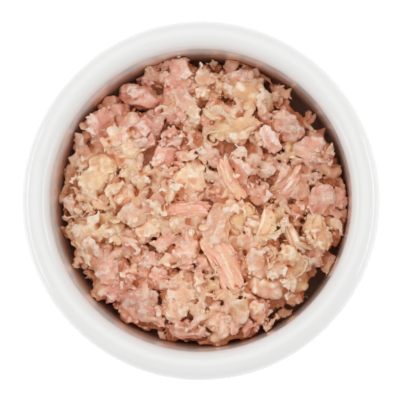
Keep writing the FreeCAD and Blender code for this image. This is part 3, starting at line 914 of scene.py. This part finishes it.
def layBits(kind, seed):
    # strews bits over the food, each leaning with what it lies on
    rng = np.random.default_rng(seed)
    forms = [looseForm(kind, rng, seed + 10 * index) for index in range(laying["forms"])]
    laid = []
    while len(laid) < kind["count"]:
        ground = topMap.blurred(laying["ground"])
        slopes = np.gradient(topMap.blurred(laying["slope"]), sculpt["mapStep"])
        for _ in range(laying["atOnce"]):
            spot = np.array((*freeSpot(rng, foodRadius - laying["fromWall"]), 0.0))
            square = topMap.squares(spot)
            if (kept[square] and rng.uniform() > kind["over"]
                    or ground[square] > dome[square] + laying["overHeap"]):
                continue
            points, faces, creases, grains = forms[rng.integers(len(forms))]
            up = Vector((-slopes[0][square], -slopes[1][square], 1)).normalized()
            lean = np.array(Vector((0, 0, 1)).rotation_difference(up).to_matrix(), np.float32)
            size = rng.uniform(*laying["size"])
            spot[2] = ground[square]
            placed = size * points @ randomTurn(rng, kind["tilt"]).T @ lean.T
            sink = (0.5 - kind["sunk"]) * size * (points[:, 2].max() - points[:, 2].min())
            placed = offWall(placed + spot + (0, 0, sink))
            topMap.add(placed)
            laid.append((placed, faces, *tinted(rng, kind, placed, grains, creases)))
            if len(laid) == kind["count"]:
                break
    return joined(laid)


def layShreds(seed):
    # thin bent strips that follow the food's top, with ragged sides and thin ends
    rng = np.random.default_rng(seed)
    stations, sides = shreds["stations"], shreds["sides"]
    share = np.linspace(-1, 1, stations)
    angles = np.linspace(0, 2 * math.pi, sides, endpoint=False)
    faces = []
    for station in range(stations - 1):
        for side in range(sides):
            a, b = station * sides + side, station * sides + (side + 1) % sides
            faces += [(a, b, b + sides), (a, b + sides, a + sides)]
    for side in range(1, sides - 1):
        faces += [(0, side + 1, side)]
        faces += [((stations - 1) * sides + i for i in (0, side, side + 1))]
    faces = np.array([tuple(face) for face in faces])
    ground = topMap.blurred(0.6)
    laid = []
    while len(laid) < shreds["count"]:
        middle = np.array(freeSpot(rng, foodRadius - 3))
        length = rng.uniform(*shreds["length"])
        heading = rng.uniform(0, 2 * math.pi)
        ahead = np.array((math.cos(heading), math.sin(heading)))
        beside = np.array((-ahead[1], ahead[0]))
        bow = rng.uniform(-1, 1) * shreds["bow"] * length
        line = middle + length / 2 * share[:, None] * ahead + bow * (share ** 2)[:, None] * beside
        squares = topMap.squares(line)
        if ((ground[squares] > dome[squares] + shreds["overHeap"]).any()
                or kept[squares].mean() > shreds["overNamed"]):
            continue
        level = ground[squares]
        level = np.convolve(np.pad(level, 2, mode="edge"), (0.15, 0.2, 0.3, 0.2, 0.15), "valid")
        level += shreds["lift"] + rng.uniform(*shreds["tilt"]) * share
        level += rng.uniform(*shreds["droop"]) * share ** 2
        girth = (1.02 - np.abs(share) ** rng.uniform(1.5, 3)) ** 0.55
        width = rng.uniform(*shreds["width"]) * girth[:, None] / 2
        thick = rng.uniform(*shreds["thick"]) * girth[:, None] / 2
        ragged = 1 + shreds["ragged"] * rng.uniform(-1, 1, (stations, sides))
        whole, along = shreds["twist"]
        twist = rng.uniform(-whole, whole) + rng.uniform(-along, along) * share[:, None]
        flat, tall = width * ragged * np.cos(angles), thick * ragged * np.sin(angles)
        across = flat * np.cos(twist) - tall * np.sin(twist)
        rise = flat * np.sin(twist) + tall * np.cos(twist)
        points = np.empty((stations, sides, 3))
        points[..., :2] = line[:, None] + across[..., None] * beside
        points[..., 2] = level[:, None] + rise
        points = offWall(points.reshape(-1, 3))
        laid.append((points, faces, *tinted(rng, shreds, points, 0, np.zeros(len(points)))))
    for points, *_ in laid:
        topMap.add(points)
    return joined(laid)


def layGrains(kind, seed):
    # small uneven balls strewn in patches over the food
    rng = np.random.default_rng(seed)
    ball = bmesh.new()
    bmesh.ops.create_icosphere(ball, subdivisions=2, radius=1)
    ball.verts.index_update()
    unit = np.array([corner.co for corner in ball.verts], np.float32)
    faces = np.array([[corner.index for corner in face.verts] for face in ball.faces])
    ball.free()
    bumps = [smoothNoise(unit / 0.6 + 5 * index, seed + index) for index in range(10)]
    forms = [unit * (1 + kind["bumpy"] * bump)[:, None] for bump in bumps]
    ground = topMap.blurred(0.5)
    laid = []
    least, most = kind["radius"]
    while len(laid) < kind["count"]:
        spot = np.array((*freeSpot(rng, foodRadius - 1), 0.0))
        square = topMap.squares(spot)
        if (smoothNoise(spot / 4.5, seed) < rng.uniform(-0.7, 0.5) or topMap.level[square] < 0
                or abs(ground[square] - dome[square]) > 2.5
                or kept[square] and rng.uniform() > 0.12):
            continue
        radius = least + (most - least) * rng.uniform() ** 2
        size = radius * np.array((rng.uniform(0.9, 1.5), rng.uniform(0.7, 1.1), kind["flat"]))
        spot[2] = 0.5 * (ground[square] + topMap.level[square]) + 0.25 * size[2]
        points = offWall(forms[rng.integers(len(forms))] * size @ randomTurn(rng, 35).T + spot)
        laid.append((points, faces, *tinted(rng, kind, points, 0, np.zeros(len(points)))))
    return joined(laid)


def camel(name):
    # a CAD node's name as a piece's: south_clump becomes southClump
    first, *rest = name.split("_")
    return first + "".join(word.capitalize() for word in rest)


# Measures taken from the frame

bowlRadius, _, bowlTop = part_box("bowl")[1]
foodTop = max(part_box(name)[1].z for name in looks)


# the slope and start of the heap's radius against its level, on the wall's straight stretch
heapPoints, _ = nodeMesh("meat_heap")
heapRadii = np.hypot(heapPoints[:, 0], heapPoints[:, 1])
wallLevels = np.arange(17, 29, 1.0)
wallSlope, wallStart = np.polyfit(wallLevels, [
    heapRadii[np.abs(heapPoints[:, 2] - level) < 1.2].max() for level in wallLevels], 1)


def innerRadius(level):
    # of the wall on its straight stretch, in millimetres
    return wallSlope * level + wallStart + sculpt["heapGap"]


foodRadius = float(innerRadius(foodTop / mm - 3)) - sculpt["heapGap"]

moistMeat = meatGroup()
materials = {
    "minced": meatMaterial("minced_meat"),
    "grainy": meatMaterial("grainy_meat"),
    "smooth": meatMaterial("smooth_meat", scatter=1.3, coat=0.45, bump=0.6),
    "fibrous": meatMaterial("fibrous_meat", coat=0.4, bump=0.5),
    "jelly": meatMaterial("meat_jelly", scatter=1.6, coat=0.7, bump=0.3),
    "loose": meatMaterial("loose_meat", scatter=0.5),
    "crumb": meatMaterial("meat_crumbs", scatter=0.3, bump=0.5),
    "dab": meatMaterial("jelly_dabs", scatter=0.5, coat=0.8, bump=0.2),
}


# What paints shade on a point (dip, sunk and crease) and light on it (ridge and proud): how much
# it counts, and from where it starts to count to where it counts in full, in millimetres below or
# over the ground around it; deepest is the most painted shade
paintedShadeAndLight = {
    "dip": (0.45, 0.1, 1.3), "sunk": (0.55, 0.0, 3.4), "crease": (0.4, 0.0, 0.7),
    "ridge": (0.6, -0.05, 0.55), "proud": (0.5, 0.2, 2.2), "deepest": 0.92,
    "close": 0.9, "farther": 3.0,     # half widths over which that ground is evened
}


def counted(value, name):
    share, start, end = paintedShadeAndLight[name]
    return share * ramp(value, start, end)


def finished(name, points, faces, masks, material, slot, nodes, close, farther):
    # a smooth-shaded piece with its masks, among them painted shade and painted highlight from how
    # far each point is below or above the ground around it and how it is creased
    crease = masks.pop("crease")
    squares = topMap.squares(points)
    dip, sunk = close[squares] - points[:, 2], farther[squares] - points[:, 2]
    # painted shade in dips, hollows and creases; painted highlight on ridges and proud points
    masks["deep"] = np.clip(counted(dip, "dip") + counted(sunk, "sunk")
                            + counted(crease, "crease"), 0, paintedShadeAndLight["deepest"])
    masks["pale"] = (1 - masks["deep"]) * np.clip(
        counted(-crease, "ridge") + counted(-sunk, "proud"), 0, 1)
    mesh = bpy.data.meshes.new(name)
    mesh.vertices.add(len(points))
    mesh.vertices.foreach_set("co", (points * mm).astype(np.float32).ravel())
    mesh.loops.add(faces.size)
    mesh.loops.foreach_set("vertex_index", faces.astype(np.int32).ravel())
    mesh.polygons.add(len(faces))
    mesh.polygons.foreach_set("loop_start", np.arange(0, faces.size, 3, dtype=np.int32))
    for mask, values in masks.items():
        layer = mesh.attributes.new(mask, "FLOAT", "POINT")
        layer.data.foreach_set("value", np.asarray(values, np.float32))
    mesh.update(calc_edges=True)
    mesh.validate()
    mesh.shade_smooth()
    mesh.materials.append(material)
    piece = linked(name, mesh)
    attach(piece, "root")
    if len(faces) > sculpt["mostFaces"]:
        piece.modifiers.new("lighter", "DECIMATE").ratio = sculpt["mostFaces"] / len(faces)
    if nodes:
        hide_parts(*nodes)


print("mince")
topMap = TopMap(foodRadius + 3)
slots = {part["node"]: part["material_slot"] for part in frame["record"]["subparts"]}
ready = [("mince", *mincedCore(), materials["minced"], "minced_meat", ["meat_heap"])]
topMap.add(ready[0][1])

print("named pieces")
namedMap = TopMap(foodRadius + 3)
for index, name in enumerate(looks):
    points, faces, masks = chunk(name, 100 + 20 * index)
    namedMap.add(points)
    ready.append((camel(name), points, faces, masks, materials[looks[name][0]],
                  slots[name], [name]))
kept = boxBlur((namedMap.level > topMap.level).astype(float), 3) > 0.85
topMap.add(np.concatenate([row[1] for row in ready[1:]]))
dome = topMap.blurred(3.5)

print("loose bits")
for index, (name, kind) in enumerate(looseBits.items()):
    made = layBits(kind, 3000 + 400 * index)
    ready.append((name, *made, materials["loose"], kind["slot"], []))

print("shreds, crumbs and jelly")
for name, made, style, slot in (
        ("shreds", layShreds(51), "loose", "pale_meat"),
        ("crumbs", layGrains(crumbs, 61), "crumb", "minced_meat"),
        ("jellyDabs", layGrains(dabs, 71), "dab", "meat_jelly")):
    ready.append((name, *made, materials[style], slot, []))

close, farther = topMap.blurred(paintedShadeAndLight["close"]), topMap.blurred(paintedShadeAndLight["farther"])
for row in ready:
    finished(*row, close, farther)

print("bowl")
bowl = frame["nodes"]["bowl"]
bowl.data.materials.clear()
bowl.data.materials.append(glazeMaterial())


# Floor, light and camera

studio = {
    "floor": (0.95, 0.95, 0.95, 1),
    "glow": 0.3,              # its own light
    "half": 1.5,              # metres across half of it, and how far below the bowl it lies
    "drop": 0.0002,
    # the sky's brightness straight up and at the sides
    "zenith": 0.74,
    "horizon": 0.70,
    # each light: bearing and height in degrees, distance, width and length in metres, watts
    "key": (100, 68, 0.85, 0.75, 0.75, 1.25),
    "left": (180, 26, 0.7, 0.12, 0.6, 0.6),
    "right": (0, 26, 0.7, 0.12, 0.6, 0.6),
}


def setFloor():
    mesh = bpy.data.meshes.new("floor")
    half = studio["half"]
    mesh.from_pydata([(-half, -half, 0), (half, -half, 0), (half, half, 0), (-half, half, 0)],
                     [], [(0, 1, 2, 3)])
    material, nodes, surface = newMaterial("floor")
    nodes.fill(surface, {"Base Color": studio["floor"], "Roughness": 0.8,
                         "Emission Color": (1, 1, 1, 1), "Emission Strength": studio["glow"]})
    mesh.materials.append(material)
    floor = linked("floor", mesh)
    floor.location.z = cadLow.z - studio["drop"]


def stand(thing, target, bearing, height, distance):
    # aims a light or camera at the target from a bearing and a height in degrees, +Y upwards
    turn = math.radians(bearing)
    rise = math.radians(height)
    flat = math.cos(rise)
    spot = target + distance * Vector(
        (math.cos(turn) * flat, math.sin(turn) * flat, math.sin(rise)))
    back = (spot - target).normalized()
    right = Vector((0, 1, 0)).cross(back)
    if right.length < 0.3:
        right = Vector((1, 0, 0))
    right.normalize()
    turned = Matrix((right, back.cross(right), back)).transposed().to_4x4()
    thing.matrix_world = Matrix.Translation(spot) @ turned


def setLights():
    world = bpy.data.worlds.new("studio")
    world.use_nodes = True
    nodes = Nodes(world.node_tree)
    direction = nodes.add("ShaderNodeTexCoord").outputs["Generated"]
    upward = nodes.add("ShaderNodeSeparateXYZ", {"Vector": direction}).outputs[2]
    nodes.fill(nodes.tree.nodes["Background"], {"Color": (1, 1, 1, 1), "Strength": nodes.mapped(
        upward, 0.1, 0.8, studio["horizon"], studio["zenith"], "SMOOTHSTEP")})
    bpy.context.scene.world = world
    for name in ("key", "left", "right"):
        *where, width, length, power = studio[name]
        lamp = bpy.data.lights.new(name, "AREA")
        lamp.shape = "RECTANGLE"
        lamp.size = width
        lamp.size_y = length
        lamp.energy = power
        stand(linked(name, lamp), Vector((0, 0, bowlTop)), *where)


def setCamera():
    lens = bpy.data.cameras.new("camera")
    lens.sensor_width = 36
    lens.lens = 36 * view["distance"] / view["span"]
    lens.clip_start = 0.01
    camera = linked("camera", lens)
    stand(camera, Vector((0, 0, bowlTop - view["lipDrop"])), view["side"], 90 - view["lean"],
          view["distance"])
    bpy.context.scene.camera = camera


print("studio")
setFloor()
setLights()
setCamera()
bpy.context.scene.view_settings.view_transform = "Standard"
